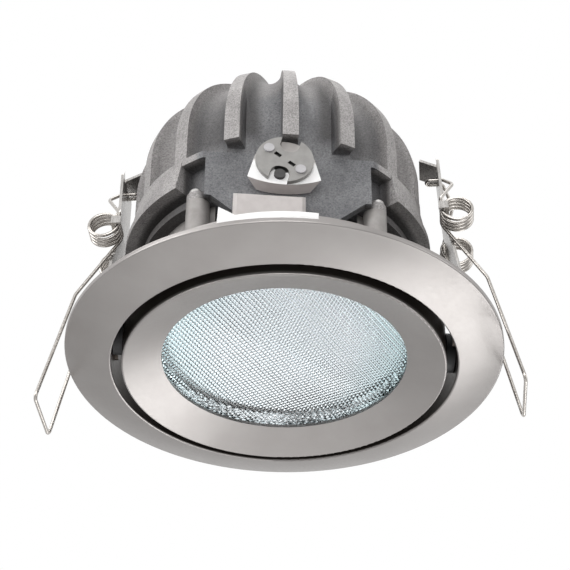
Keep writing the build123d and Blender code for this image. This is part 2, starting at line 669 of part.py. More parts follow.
def spring_bracket(lean):
    sheet = [(strap_x(lean, z), z) for z in (FOOT_Z, KNEE_Z, NECK_Z, PRONG_TOP)]
    root_x = strap_x(lean, TAB_ROOT_Z)
    lug_x = strap_x(lean, COIL_Z)
    bent = face_of(sheet + [(x + SHEET, z) for x, z in reversed(sheet)])
    bent = extrude(Plane.XZ * bent, 2 * LUG_TIP_Y, both=True)
    low, high = COIL_Z - LUG_BAR_H / 2, COIL_Z + LUG_BAR_H / 2
    tip_y = LUG_TIP_Y + SHEET
    clear = COIL_R + WIRE
    fork = TAB_W / 2 + TAB_SLOT
    outline = mirrored_outline([
        (FOOT_W / 2, FOOT_Z),
        (FOOT_W / 2, KNEE_Z),
        (BODY_W / 2, KNEE_Z + SHOULDER_H),
        (BODY_W / 2, COIL_Z - clear - SHOULDER_H),
        (WAIST_W / 2, COIL_Z - clear),
        (WAIST_W / 2, low),
        (tip_y, low),
        (tip_y, high),
        (WAIST_W / 2, high),
        (WAIST_W / 2, COIL_Z + clear),
        (BODY_W / 2, COIL_Z + clear + SHOULDER_H),
        (BODY_W / 2, PRONG_TOP - PRONG_TAPER),
        (BODY_W / 2 - SHEET, PRONG_TOP),
        (fork, PRONG_TOP - PRONG_TAPER),
        (fork, TAB_ROOT_Z - SHEET),
        (TAB_W / 2, TAB_ROOT_Z - SHEET),
        (TAB_W / 2, TAB_ROOT_Z),
    ])
    solid = bent & extrude(Plane.YZ * outline, 2 * PAD_X, both=True)
    rise = radians(TAB_RISE)
    along = (-cos(rise), sin(rise))
    across = (SHEET * sin(rise), SHEET * cos(rise))
    end = (root_x + TAB_L * along[0], TAB_ROOT_Z + TAB_L * along[1])
    tab = face_of([
        (root_x, TAB_ROOT_Z - SHEET),
        (root_x, TAB_ROOT_Z),
        end,
        (end[0] + across[0], end[1] + across[1]),
        (root_x + across[0], TAB_ROOT_Z + across[1]),
        (root_x + SHEET, TAB_ROOT_Z),
        (root_x + SHEET, TAB_ROOT_Z - SHEET),
    ])
    tab = extrude(Plane.XZ * tab, TAB_W / 2, both=True)
    tip = block(lug_x - LUG_TIP_L, lug_x + SHEET, LUG_TIP_Y, tip_y, low, high)
    solid = fused([solid, tab, tip, mirror(tip, Plane.XZ)])
    slot_y = HAIRPIN_W / 2 + WIRE / 2 + SEAT_GAP
    slot_z = WIRE / 2 + SEAT_GAP
    slot = block(0, PAD_X, -slot_y, slot_y, HAIRPIN_Z - slot_z, HAIRPIN_Z + slot_z)
    holes = [x_rod(RIVET_R + FIT, PAD_X - 2, PAD_X + 2, z) for z in RIVET_Z]
    return solid - slot - holes


def bracket_rivets():
    rivets = []
    for z in RIVET_Z:
        head_x = PAD_X + SHEET
        tail_x = sqrt(TRIM_BORE_R**2 - RIVET_TAIL_R**2) - FIT
        shank = x_rod(RIVET_R, tail_x - RIVET_TAIL_T, head_x + RIVET_HEAD_T / 2, z)
        head = x_rod(RIVET_HEAD_R, head_x, head_x + RIVET_HEAD_T, z)
        head = fillet(head.edges().group_by(Axis.X)[-1], RIVET_HEAD_T / 2)
        tail = x_rod(RIVET_TAIL_R, tail_x - RIVET_TAIL_T, tail_x, z)
        rivets += both_sides(turned(BRACKET_YAW, fused([shank, head, tail])))
    return rivets


def rounded_route(points, radii):
    edges = []
    start = points[0]
    for before, corner, after, radius in zip(points, points[1:], points[2:], radii):
        into = (corner - before).normalized()
        out = (after - corner).normalized()
        half_turn = radians(into.get_angle(out)) / 2
        back = radius * tan(half_turn)
        first = corner - into * back
        last = corner + out * back
        edges.append(Edge.make_line(start, first))
        edges.append(Edge.make_tangent_arc(first, into, last))
        start = last
    edges.append(Edge.make_line(start, points[-1]))
    return edges


def coil_point(angle):
    """Point and direction of the wire on a coil about x = 0."""
    heading = sqrt((2 * pi * COIL_R) ** 2 + COIL_PITCH**2)
    turn = radians(180 + angle)
    y = -COIL_OUT_Y + COIL_PITCH * angle / 360
    place = Vector(COIL_R * cos(turn), y, COIL_Z + COIL_R * sin(turn))
    run = 2 * pi * COIL_R / heading
    tangent = Vector(-sin(turn) * run, COIL_PITCH / heading, cos(turn) * run)
    return place, tangent


def near_half():
    """Centre line from the outer end of one coil to the middle of the bar at the arm's tip."""
    place, tangent = coil_point(0)
    down = Vector(0, 0, -1)
    stub = Vector(place.X, place.Y, COIL_Z + WIRE)
    edges = [Edge.make_line(stub, stub + down * WIRE * 0.5)]
    place, tangent = stub + down * WIRE * 0.5, down
    for k in range(1, 2 * COIL_TURNS + 1):
        nxt, heading = coil_point(180 * k)
        edges += biarc(place, tangent, nxt, heading)
        place, tangent = nxt, heading
    nxt, heading = coil_point(360 * COIL_TURNS + 90 - ARM_EXIT)
    edges += biarc(place, tangent, nxt, heading)
    splay = (ARM_BAR_Y + nxt.Y) / (ARM_UPPER_L + ARM_LOWER_L)
    upper = Vector(cos(radians(ARM_EXIT)), -splay, -sin(radians(ARM_EXIT)))
    lower = Vector(cos(radians(ARM_LOWER_DIP)), -splay, -sin(radians(ARM_LOWER_DIP)))
    knee = nxt + upper * ARM_UPPER_L
    tip = knee + lower * ARM_LOWER_L
    lead = nxt + upper * ARM_LEAD_L
    edges += biarc(nxt, heading, lead, upper.normalized())
    middle = Vector(tip.X, 0, tip.Z)
    return edges + rounded_route([lead, knee, tip, middle], [ARM_BEND_R, ARM_CORNER_R])


def mirrored_path(edges):
    return edges + [edge.mirror(Plane.XZ) for edge in reversed(edges)]


def wire_tube(path, start, heading):
    section = Plane(origin=start, z_dir=heading) * Circle(WIRE / 2)
    return sweep(section, path=Wire(path))


def least_gap(half):
    samples = []
    travel = 0.0
    for edge in half:
        count = max(2, int(edge.length / (WIRE / 2)))
        for k in range(count):
            samples.append((travel + edge.length * k / count, edge.position_at(k / count)))
        travel += edge.length
    samples += [(2 * travel - s, Vector(p.X, -p.Y, p.Z)) for s, p in reversed(samples)]
    near = 3 * WIRE
    gaps = []
    for i, (s, p) in enumerate(samples):
        gaps += [(p - q).length for t, q in samples[i + 1:] if t - s > near]
    return round(min(gaps) - WIRE, 3)


def spring_arm():
    half = near_half()
    print("spring arm: least gap of the wire to itself", least_gap(half), "mm")
    start = Vector(-COIL_R, -COIL_OUT_Y, COIL_Z + WIRE)
    return wire_tube(mirrored_path(half), start, (0, 0, -1))


def spring_anchor(lean):
    x = strap_x(lean, COIL_Z) + COIL_AHEAD - COIL_R
    y = -COIL_OUT_Y - ANCHOR_STEP
    face_x = strap_x(lean, HAIRPIN_Z)
    outside = face_x + SHEET + WIRE / 2 + SEAT_GAP
    start = Vector(x, y, COIL_Z + WIRE + ANCHOR_GAP)
    side = [
        start,
        Vector(x, y, start.Z + ANCHOR_RISE),
        Vector(outside + ANCHOR_BULGE, -ANCHOR_BULGE_Y, ANCHOR_BULGE_Z),
        Vector(outside, -HAIRPIN_W / 2, HAIRPIN_Z),
        Vector(face_x - HAIRPIN_REACH, -HAIRPIN_W / 2, HAIRPIN_Z),
        Vector(face_x - HAIRPIN_REACH, 0, HAIRPIN_Z),
    ]
    half = rounded_route(side, [ARM_CORNER_R, ARM_BEND_R, HAIRPIN_BEND, HAIRPIN_BEND])
    print("spring anchor: least gap of the wire to itself", least_gap(half), "mm")
    return wire_tube(mirrored_path(half), start, (0, 0, 1))


def save(name, shape):
    if isinstance(shape, list):
        shape = Compound(children=[piece.solid() for piece in shape])
    export_step(shape, f"parts/{name}.step")


os.makedirs("parts", exist_ok=True)

arm = spring_arm()
for side_name, side_az, lean in (("right", 0, LEAN_RIGHT), ("left", 180, LEAN_LEFT)):
    azimuth = side_az + BRACKET_YAW
    coil_x = strap_x(lean, COIL_Z) + COIL_AHEAD
    save(f"{side_name}_spring_bracket", turned(azimuth, spring_bracket(lean)))
    save(f"{side_name}_spring_arm", turned(azimuth, Pos(coil_x, 0, 0) * arm))
    save(f"{side_name}_spring_anchor", turned(azimuth, spring_anchor(lean)))
for side_name, side_az in (("right", 0), ("left", 180)):
    save(f"{side_name}_pivot_screw", turned(side_az, pivot_screw()))
    save(f"{side_name}_pivot_washer", turned(side_az, pivot_washer()))

save("trim_ring", trim_ring())
save("bracket_rivets", bracket_rivets())
save("lens_ring", lens_ring())
save("glass_lens", disc(GLASS_R, SEAT_Z, GASKET_Z))
save("glass_gasket", ring(GLASS_R, GLASS_R - GASKET_W, GASKET_Z, REFLECTOR_Z))
save("reflector", reflector())
save("lamp_carrier", lamp_carrier())
save("carrier_screws", screws(CARRIER_SCREW_RING_R, CARRIER_SCREW_ANGLE, FLANGE_TOP, CARRIER_SCREW_L))
sink_screws = screws(SINK_SCREW_RING_R, 90 - POST_ANGLE, NECK_BOTTOM, SINK_SCREW_L)
save("heat_sink_screws", [HEAD_POS * screw for screw in sink_screws])
save("heat_sink", heat_sink())
save("lampholder_body", lampholder_body())
save("lampholder_cap", lampholder_cap())
save("lampholder_rivets", lampholder_rivets())
save("lampholder_screw", lampholder_screw())
save("lamp_base", lamp_base())
save("lamp_bulb", lamp_bulb())
save("lamp_burner", lamp_burner())
save("lamp_pins", pin_rods(PIN_R))
save("terminal_block", terminal_block())
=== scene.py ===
import json

import bmesh
import bpy
from math import cos, hypot, radians, sin
from mathutils import Matrix, Vector


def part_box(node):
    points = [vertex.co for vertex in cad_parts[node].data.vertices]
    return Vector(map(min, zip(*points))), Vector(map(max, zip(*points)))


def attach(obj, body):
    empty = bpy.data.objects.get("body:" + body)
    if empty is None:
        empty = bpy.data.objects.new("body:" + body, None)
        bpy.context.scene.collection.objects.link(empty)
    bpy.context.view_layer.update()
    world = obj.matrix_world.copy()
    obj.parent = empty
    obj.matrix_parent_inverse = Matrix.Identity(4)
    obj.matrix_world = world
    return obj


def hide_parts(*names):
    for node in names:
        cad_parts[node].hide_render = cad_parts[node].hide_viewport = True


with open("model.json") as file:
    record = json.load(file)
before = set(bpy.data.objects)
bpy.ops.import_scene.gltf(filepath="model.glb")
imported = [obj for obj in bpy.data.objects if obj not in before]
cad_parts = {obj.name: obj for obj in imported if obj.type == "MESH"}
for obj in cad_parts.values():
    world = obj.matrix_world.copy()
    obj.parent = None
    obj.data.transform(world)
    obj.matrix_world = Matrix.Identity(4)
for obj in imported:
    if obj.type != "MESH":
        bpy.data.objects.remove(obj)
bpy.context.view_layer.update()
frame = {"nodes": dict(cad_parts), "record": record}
scene = bpy.context.scene
scene.view_settings.view_transform = "Standard"

MM = 0.001

# Places and pitches on the object that materials refer to, in millimetres, and the prisms' turn
HEAD_EDGE = (55.1, 55.3)
BORE_EDGE = (59.15, 59.05)
GAP_MOUTH_Z = (-6.2, -5.4)
DOME_CENTRE = (-2.6, 0, 65.5)
DOME_HALVES = (52, 52, 48.2)
REFLECTOR_BAND_Z = 17.0
HOLDER_AXIS = (-4.4, 0, 45.6)
HOLDER_MIDDLE_Z = (46.5, 45.0)
PRISM_PITCHES = (1.6, 1.45)
PRISM_TURN = radians(-35)

# Colours that several materials share, both painted shade: black in holes and a dark brown in the gap
# round the head
SHADOW_BLACK = (0.02, 0.019, 0.018, 1.0)
PAINTED_GAP_SHADE = (0.085, 0.072, 0.063, 1.0)

# Sizes of the pieces made here in metres, counts, and a recess arm's width as a share of its length
PRISM_DEPTH = 0.5 * MM
PRISM_FACE_R = 44.6 * MM
GLASS_BEVEL = 0.2 * MM
SEAL_AIR = 0.03 * MM
STRIP_R = 61.28 * MM
STRIP_Z = (3.2 * MM, 13.8 * MM)
STRIP_PAPER = 0.1 * MM
STRIP_COLUMNS = 60
STRIP_ROWS = 5
RECESS_DEPTH = 1.6 * MM
RECESS_ARM = 0.26
SCREW_RECESS = 2.6 * MM
PIVOT_RECESS = 4.6 * MM

# Floor, its own white as the camera and reflections see it, and the photograph's camera
FLOOR_Z = -1.6
FLOOR_HALF = 9.0
FLOOR_SHOWN = 0.6
FLOOR_MIRRORED = 0.45
PHOTO_PIXELS = 570
FOCAL_PIXELS = 1696
SENSOR_MM = 36


# Materials
class Shader:
    """One procedural material, built link by link on object coordinates in millimetres."""

    def __init__(self, name):
        self.mat = bpy.data.materials.new(name)
        self.mat.use_nodes = True
        self.tree = self.mat.node_tree
        self.bsdf = self.tree.nodes["Principled BSDF"]
        coords = self.add("ShaderNodeTexCoord")
        scale = self.add("ShaderNodeMapping")
        scale.inputs["Scale"].default_value = (1000, 1000, 1000)
        self.link(coords.outputs["Object"], scale.inputs["Vector"])
        self.mm = scale.outputs["Vector"]

    def add(self, kind, **settings):
        node = self.tree.nodes.new(kind)
        for key, value in settings.items():
            setattr(node, key, value)
        return node

    def link(self, a, b):
        self.tree.links.new(a, b)

    def set(self, **values):
        for key, value in values.items():
            self.bsdf.inputs[key.replace("_", " ")].default_value = value

    def noise(self, per_mm, detail=4.0, rough=0.55, stretch=None):
        node = self.add("ShaderNodeTexNoise")
        node.inputs["Scale"].default_value = per_mm
        node.inputs["Detail"].default_value = detail
        node.inputs["Roughness"].default_value = rough
        source = self.mm
        if stretch:
            mapping = self.add("ShaderNodeMapping")
            mapping.inputs["Scale"].default_value = stretch
            self.link(self.mm, mapping.inputs["Vector"])
            source = mapping.outputs["Vector"]
        self.link(source, node.inputs["Vector"])
        return node.outputs["Fac"]

    def ramp(self, fac, stops):
        node = self.add("ShaderNodeValToRGB")
        ramp = node.color_ramp
        while len(ramp.elements) < len(stops):
            ramp.elements.new(0.5)
        for element, (place, colour) in zip(ramp.elements, stops):
            element.position = place
            element.color = (*colour, 1.0)
        self.link(fac, node.inputs["Fac"])
        return node.outputs["Color"]

    def span(self, fac, low, high, to_low, to_high):
        node = self.add("ShaderNodeMapRange")
        ends = {"From Min": low, "From Max": high, "To Min": to_low, "To Max": to_high}
        for key, value in ends.items():
            node.inputs[key].default_value = value
        self.link(fac, node.inputs["Value"])
        return node.outputs["Result"]

    def mix(self, fac, a, b, kind="MIX"):
        node = self.add("ShaderNodeMix", data_type="RGBA", blend_type=kind)
        for socket, value in zip((node.inputs["Factor"], node.inputs[6], node.inputs[7]), (fac, a, b)):
            if isinstance(value, bpy.types.NodeSocket):
                self.link(value, socket)
            else:
                socket.default_value = value
        return node.outputs[2]

    def math(self, operation, a, b=0.0):
        node = self.add("ShaderNodeMath", operation=operation)
        for socket, value in zip(node.inputs, (a, b)):
            if isinstance(value, bpy.types.NodeSocket):
                self.link(value, socket)
            else:
                socket.default_value = value
        return node.outputs[0]

    def bump(self, height, strength, distance):
        node = self.add("ShaderNodeBump")
        node.inputs["Strength"].default_value = strength
        node.inputs["Distance"].default_value = distance
        self.link(height, node.inputs["Height"])
        self.link(node.outputs["Normal"], self.bsdf.inputs["Normal"])

    def colour(self, socket):
        self.link(socket, self.bsdf.inputs["Base Color"])

    def roughness(self, socket):
        self.link(socket, self.bsdf.inputs["Roughness"])

    def axis(self, name):
        node = self.add("ShaderNodeSeparateXYZ")
        self.link(self.mm, node.inputs[0])
        return node.outputs[name]

    def distance(self, origin, scale, lowest=(-1000, -1000, -1000)):
        """Length of the scaled offset from origin, where no coordinate counts below its lowest value."""
        mapping = self.add("ShaderNodeMapping")
        mapping.inputs["Scale"].default_value = scale
        mapping.inputs["Location"].default_value = [-a * b for a, b in zip(origin, scale)]
        self.link(self.mm, mapping.inputs["Vector"])
        held = self.add("ShaderNodeVectorMath", operation="MAXIMUM")
        held.inputs[1].default_value = lowest
        self.link(mapping.outputs["Vector"], held.inputs[0])
        length = self.add("ShaderNodeVectorMath", operation="LENGTH")
        self.link(held.outputs["Vector"], length.inputs[0])
        return length.outputs["Value"]

    def grooves(self, turn, families):
        """Lines of a turned grid; each family has its pitch, half width in pitches and strength."""
        mapping = self.add("ShaderNodeMapping")
        mapping.inputs["Rotation"].default_value = (0, 0, -turn)
        self.link(self.mm, mapping.inputs["Vector"])
        parts = self.add("ShaderNodeSeparateXYZ")
        self.link(mapping.outputs["Vector"], parts.inputs[0])
        lines = []
        for axis, (pitch, half_width, strength) in zip("XY", families):
            off = self.math("PINGPONG", self.math("DIVIDE", parts.outputs[axis], pitch), 0.5)
            lines.append(self.span(off, 0.0, half_width, strength, 0.0))
        return self.math("MAXIMUM", *lines)

    def in_gap(self):
        """1 on the walls of the ring-shaped gap round the tilting head, where painted shade goes, 0
        elsewhere.
        """
        radius = self.distance((0, 0, 0), (1, 1, 0))
        outside_head = self.span(radius, *HEAD_EDGE, 0.0, 1.0)
        inside_bore = self.span(radius, *BORE_EDGE, 0.0, 1.0)
        above = self.span(self.axis("Z"), *GAP_MOUTH_Z, 0.0, 1.0)
        return self.math("MULTIPLY", self.math("MULTIPLY", outside_head, inside_bore), above)


def grey(value):
    return (value, value, value)


def satin_nickel():
    """Satin lacquer; the walls inside the gap round the tilting head get painted shade."""
    s = Shader("satin_nickel")
    s.set(Metallic=0.7, Specular_IOR_Level=0.5)
    cloud = s.noise(0.06, 3.0)
    lacquer = s.ramp(cloud, [(0.3, (0.295, 0.278, 0.269)), (0.7, (0.325, 0.308, 0.299))])
    # Painted shade on the walls inside the gap
    s.colour(s.mix(s.in_gap(), lacquer, PAINTED_GAP_SHADE))
    s.roughness(s.span(s.noise(0.9, 5.0), 0.3, 0.7, 0.3, 0.38))
    s.bump(s.noise(6.0, 2.0), 0.06, 0.00003)
    return s.mat


def cast_aluminium():
    """Raw die casting: bright fin faces, painted shade darkening the valleys, the neck, the fin flanks
    at the front and the walls beside the lampholder, and a darker bluish tone on the front plate.
    """
    s = Shader("cast_aluminium")
    s.set(Metallic=0.35, Specular_IOR_Level=0.5)
    cloud = s.noise(0.09, 6.0, 0.65)
    grain = s.noise(1.6, 6.0, 0.75)
    places = (0.28, 0.52, 0.75)
    fin_tones = ((0.235, 0.224, 0.221), (0.31, 0.296, 0.291), (0.37, 0.356, 0.351))
    plate_tones = ((0.1, 0.101, 0.107), (0.145, 0.146, 0.152), (0.19, 0.19, 0.196))
    base = s.ramp(cloud, list(zip(places, fin_tones)))
    plate_tone = s.ramp(cloud, list(zip(places, plate_tones)))

    # Where a point lies: its share of the dome's radius is 1 on the fins' outer faces
    share = s.distance(DOME_CENTRE, [1 / half for half in DOME_HALVES], (-9, -9, 0))
    depth = s.axis("Y")
    height = s.axis("Z")
    inner = s.span(share, 0.985, 0.945, 0.0, 1.0)
    plate_height = s.span(height, 53.8, 53.0, 0.0, 1.0)
    plate = s.math("MULTIPLY", s.span(depth, -41.0, -42.2, 0.0, 1.0), plate_height)
    sunk = s.span(share, 0.95, 0.9, 0.0, 1.0)
    front = s.math("MULTIPLY", s.span(depth, -26.0, -38.0, 0.0, 1.0), sunk)
    # Painted shade in the front valleys low on the dome, in the plate's darker tone
    valley_shade = s.math("MULTIPLY", front, s.span(height, 80.0, 86.0, 0.9, 0.2))
    off_centre = s.math("ABSOLUTE", s.math("SUBTRACT", s.axis("X"), DOME_CENTRE[0]))
    # Painted shade on the walls beside the lampholder, under the fins
    side = s.math("MULTIPLY", front, s.span(off_centre, 8.0, 12.0, 0.0, 0.85))
    side = s.math("MULTIPLY", side, s.span(height, 58.0, 63.0, 0.0, 1.0))
    # Painted shade on the neck under the rim
    low = s.math("MULTIPLY", inner, s.span(height, 51.2, 50.2, 0.0, 0.8))
    # Painted shade on the fin flanks in front of the plate
    flank_shade = s.math("MULTIPLY", inner, s.span(depth, -43.2, -43.6, 0.0, 0.85))

    # Painted shade and the plate's darker tone go on one over the other, then the fine specks of the
    # casting
    # Painted shade in the valleys below the fins' outer faces
    base = s.mix(s.math("MULTIPLY", inner, 0.75), base, (0.15, 0.142, 0.14, 1.0))
    base = s.mix(low, base, (0.05, 0.046, 0.045, 1.0))
    base = s.mix(flank_shade, base, (0.07, 0.066, 0.066, 1.0))
    base = s.mix(s.math("MAXIMUM", plate, valley_shade), base, plate_tone)
    base = s.mix(side, base, (0.05, 0.047, 0.047, 1.0))
    speck = s.ramp(grain, [(0.3, grey(0.3)), (0.5, grey(1.0)), (0.7, grey(1.6))])
    s.colour(s.mix(1.0, base, speck, "MULTIPLY"))
    s.roughness(s.span(grain, 0.3, 0.7, 0.48, 0.7))
    s.bump(s.math("ADD", grain, s.noise(0.35, 3.0)), 0.55, 0.0003)
    return s.mat


def sheet_steel():
    """Zinc-plated sheet with upright rolling streaks."""
    s = Shader("sheet_steel")
    s.set(Metallic=0.9)
    streak = s.noise(0.8, 4.0, 0.6, (3.0, 3.0, 0.25))
    s.colour(s.ramp(streak, [(0.3, (0.36, 0.345, 0.33)), (0.7, (0.5, 0.485, 0.47))]))
    s.roughness(s.span(streak, 0.3, 0.7, 0.22, 0.36))
    s.bump(streak, 0.12, 0.00006)
    return s.mat


def spring_wire():
    """Drawn wire with a bright, slightly uneven plating."""
    s = Shader("spring_wire")
    s.set(Metallic=0.95)
    drawn = s.noise(1.6, 3.0)
    s.colour(s.ramp(drawn, [(0.3, (0.35, 0.325, 0.3)), (0.7, (0.54, 0.515, 0.485))]))
    s.roughness(s.span(drawn, 0.3, 0.7, 0.2, 0.32))
    s.bump(drawn, 0.08, 0.00004)
    return s.mat


def fastener_steel():
    """Worn zinc on screws and rivets, with painted shade where they show inside the gap."""
    s = Shader("fastener_steel")
    s.set(Metallic=0.9)
    worn = s.noise(1.2, 5.0)
    zinc = s.ramp(worn, [(0.3, (0.36, 0.35, 0.34)), (0.7, (0.52, 0.51, 0.5))])
    # Painted shade where the fasteners show inside the gap
    s.colour(s.mix(s.in_gap(), zinc, PAINTED_GAP_SHADE))
    s.roughness(s.span(worn, 0.3, 0.7, 0.28, 0.45))
    s.bump(worn, 0.12, 0.00006)
    return s.mat


def spun_aluminium():
    """Spun bowl with fine rings; a dimmer band part way up is a painted dark reflection and a duller,
    tinted rim is painted shade, both seen through the glass.
    """
    s = Shader("spun_aluminium")
    rings = s.noise(0.8, 3.0, 0.5, (0.2, 0.2, 3.0))
    bright = s.ramp(rings, [(0.3, (0.7, 0.72, 0.73)), (0.7, (0.78, 0.795, 0.805))])
    height = s.axis("Z")
    away = s.math("ABSOLUTE", s.math("SUBTRACT", height, REFLECTOR_BAND_Z))
    # Painted dark reflection: a dimmer band round the bowl
    bright = s.mix(s.span(away, 2.0, 6.0, 0.6, 0.0), bright, (0.34, 0.38, 0.4, 1.0))
    # Painted shade: a duller, tinted rim low in the bowl
    s.colour(s.mix(s.span(height, 5.0, 10.0, 0.0, 1.0), (0.54, 0.63, 0.65, 1.0), bright))
    s.link(s.span(height, 6.0, 14.0, 0.25, 1.0), s.bsdf.inputs["Metallic"])
    s.roughness(s.span(rings, 0.3, 0.7, 0.14, 0.24))
    s.bump(rings, 0.1, 0.0001)
    return s.mat


def carrier_paint():
    """Satin paint on the carrier's wall and posts."""
    s = Shader("carrier_paint")
    s.set(Metallic=0.3)
    cloud = s.noise(0.25, 4.0)
    s.colour(s.ramp(cloud, [(0.3, (0.25, 0.235, 0.225)), (0.7, (0.32, 0.305, 0.295))]))
    s.roughness(s.span(s.noise(1.5), 0.3, 0.7, 0.45, 0.6))
    s.bump(s.noise(4.0, 2.0), 0.12, 0.00008)
    return s.mat


def ceramic(name, low, high, rough):
    """Fired ceramic with a soft mottle between two tones."""
    s = Shader(name)
    cloud = s.noise(0.3, 4.0)
    s.colour(s.ramp(cloud, [(0.3, low), (0.7, high)]))
    s.roughness(s.span(s.noise(1.2), 0.3, 0.7, rough, rough + 0.12))
    s.bump(s.noise(3.0, 3.0), 0.1, 0.0001)
    return s.mat


def holder_white_with_shade():
    """White ceramic on the lampholder's lower front face; elsewhere a warm beige of painted shade,
    greyer above as more painted shade, and a pocket painted black as shade.
    """
    s = Shader("white_ceramic")
    cloud = s.noise(0.3, 4.0)
    own_white = s.ramp(cloud, [(0.3, (0.9, 0.895, 0.89)), (0.7, (0.95, 0.945, 0.94))])
    # Painted shade: the warm beige of the body away from the white front face
    body = s.ramp(cloud, [(0.3, (0.74, 0.685, 0.665)), (0.7, (0.82, 0.765, 0.745))])
    height = s.axis("Z")
    on_face = s.span(s.axis("Y"), -48.2, -48.4, 0.0, 1.0)
    front = s.math("MULTIPLY", on_face, s.span(height, *HOLDER_MIDDLE_Z, 0.0, 1.0))
    # More painted shade greys the body above the middle
    body = s.mix(s.span(height, *HOLDER_MIDDLE_Z, 0.75, 0.0), body, (0.27, 0.262, 0.25, 1.0))
    # Painted shade: the pocket round the holder's axis is made black
    pocket = s.span(s.distance(HOLDER_AXIS, (1, 0, 1)), 4.9, 4.7, 0.0, 1.0)
    s.colour(s.mix(pocket, s.mix(front, body, own_white), SHADOW_BLACK))
    s.roughness(s.span(s.noise(1.2), 0.3, 0.7, 0.3, 0.42))
    s.bump(s.noise(3.0, 3.0), 0.1, 0.0001)
    return s.mat


def slotted_cap():
    """Steatite cap whose two wire slots are painted black inside as shade."""
    s = Shader("beige_ceramic")
    cloud = s.noise(0.3, 4.0)
    steatite = s.ramp(cloud, [(0.3, (0.25, 0.242, 0.232)), (0.7, (0.31, 0.302, 0.29))])
    sunk = s.span(s.axis("Y"), -50.0, -49.8, 0.0, 1.0)
    inner = s.span(s.distance(HOLDER_AXIS, (1, 0, 1)), 5.0, 4.8, 0.0, 1.0)
    # Painted shade: black inside the sunk wire slots
    s.colour(s.mix(s.math("MULTIPLY", sunk, inner), steatite, SHADOW_BLACK))
    s.roughness(s.span(s.noise(1.2), 0.3, 0.7, 0.5, 0.62))
    s.bump(s.noise(3.0, 3.0), 0.1, 0.0001)
    return s.mat


def pressed_glass():
    """Pressed glass, greener towards its rim, with painted shade darker along the grooves between the
    prisms.
    """
    s = Shader("prismatic_glass")
    s.set(Transmission_Weight=1.0, IOR=1.5)
    film = s.noise(0.08, 3.0)
    middle = s.ramp(film, [(0.3, (0.935, 0.94, 0.965)), (0.7, (0.965, 0.965, 0.99))])
    rim = s.ramp(film, [(0.3, (0.62, 0.85, 0.88)), (0.7, (0.7, 0.91, 0.94))])
    outwards = s.span(s.distance((0, 0, 0), (1, 0.6, 0)), 22.0, 44.0, 0.0, 1.0)
    tint = s.mix(outwards, middle, rim)
    long_pitch, short_pitch = PRISM_PITCHES
    families = ((long_pitch, 0.24, 0.3), (short_pitch, 0.4, 0.85))
    # Painted shade along the grooves between the prisms
    s.colour(s.mix(s.grooves(PRISM_TURN, families), tint, (0.38, 0.49, 0.52, 1.0)))
    s.roughness(s.span(film, 0.3, 0.7, 0.03, 0.06))
    s.bump(film, 0.02, 0.0001)
    return s.mat


def clear_glass(name, tint, rough):
    """Smooth glass with a faint film."""
    s = Shader(name)
    s.set(Transmission_Weight=1.0, IOR=1.5)
    film = s.noise(0.08, 3.0)
    s.colour(s.ramp(film, [(0.3, tint), (0.7, tuple(min(1.0, v * 1.03) for v in tint))]))
    s.roughness(s.span(film, 0.3, 0.7, rough, rough + 0.03))
    s.bump(film, 0.02, 0.0001)
    return s.mat


def dull_surface(name, low, high, rough):
    """Dull, finely mottled surface, for seal, paper, nylon, dulled metal, and a screw made black as
    painted shade.
    """
    s = Shader(name)
    cloud = s.noise(0.5, 4.0)
    s.colour(s.ramp(cloud, [(0.3, low), (0.7, high)]))
    s.roughness(s.span(s.noise(2.0), 0.3, 0.7, rough, rough + 0.1))
    s.bump(s.noise(5.0, 2.0), 0.1, 0.00006)
    return s.mat


finishes = {
    "satin_nickel": satin_nickel(),
    "cast_aluminium": cast_aluminium(),
    "sheet_steel": sheet_steel(),
    "spring_wire": spring_wire(),
    "fastener_steel": fastener_steel(),
    "spun_aluminium": spun_aluminium(),
    "carrier_paint": carrier_paint(),
    "white_ceramic": holder_white_with_shade(),
    "beige_ceramic": slotted_cap(),
    "burner": ceramic("burner", (0.8, 0.79, 0.76), (0.88, 0.87, 0.84), 0.35),
    "prismatic_glass": pressed_glass(),
    "lamp_glass": clear_glass("lamp_glass", (0.96, 0.97, 0.97), 0.02),
    "seal": dull_surface("seal", (0.74, 0.75, 0.75), (0.82, 0.83, 0.83), 0.5),
    "label_paper": dull_surface("label_paper", (0.8, 0.795, 0.785), (0.86, 0.855, 0.85), 0.55),
    "grey_nylon": dull_surface("grey_nylon", (0.02, 0.02, 0.022), (0.035, 0.035, 0.038), 0.45),
}
own_finish = {
    "terminal_block": ceramic("block_ceramic", (0.46, 0.427, 0.415), (0.53, 0.495, 0.482), 0.5),
    "lampholder_rivets": dull_surface("rivet_tin", (0.4, 0.39, 0.4), (0.48, 0.47, 0.48), 0.45),
    # Painted shade: the lampholder screw is made black where it sits in its shadowed hole
    "lampholder_screw": dull_surface("screw_hole_shade", (0.02, 0.019, 0.018), (0.035, 0.033, 0.032), 0.4),
}
slot_of = {entry["node"]: entry["material_slot"] for entry in frame["record"]["subparts"]}
for node, obj in frame["nodes"].items():
    obj.data.materials.clear()
    obj.data.materials.append(own_finish.get(node, finishes[slot_of[node]]))


def mesh_piece(name, bm, slot, body, smooth=True):
    mesh = bpy.data.meshes.new(name)
    bm.normal_update()
    bm.to_mesh(mesh)
    bm.free()
    obj = bpy.data.objects.new(name, mesh)
    scene.collection.objects.link(obj)
    mesh.materials.append(finishes[slot])
    for polygon in mesh.polygons:
        polygon.use_smooth = smooth
    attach(obj, body)
    return obj


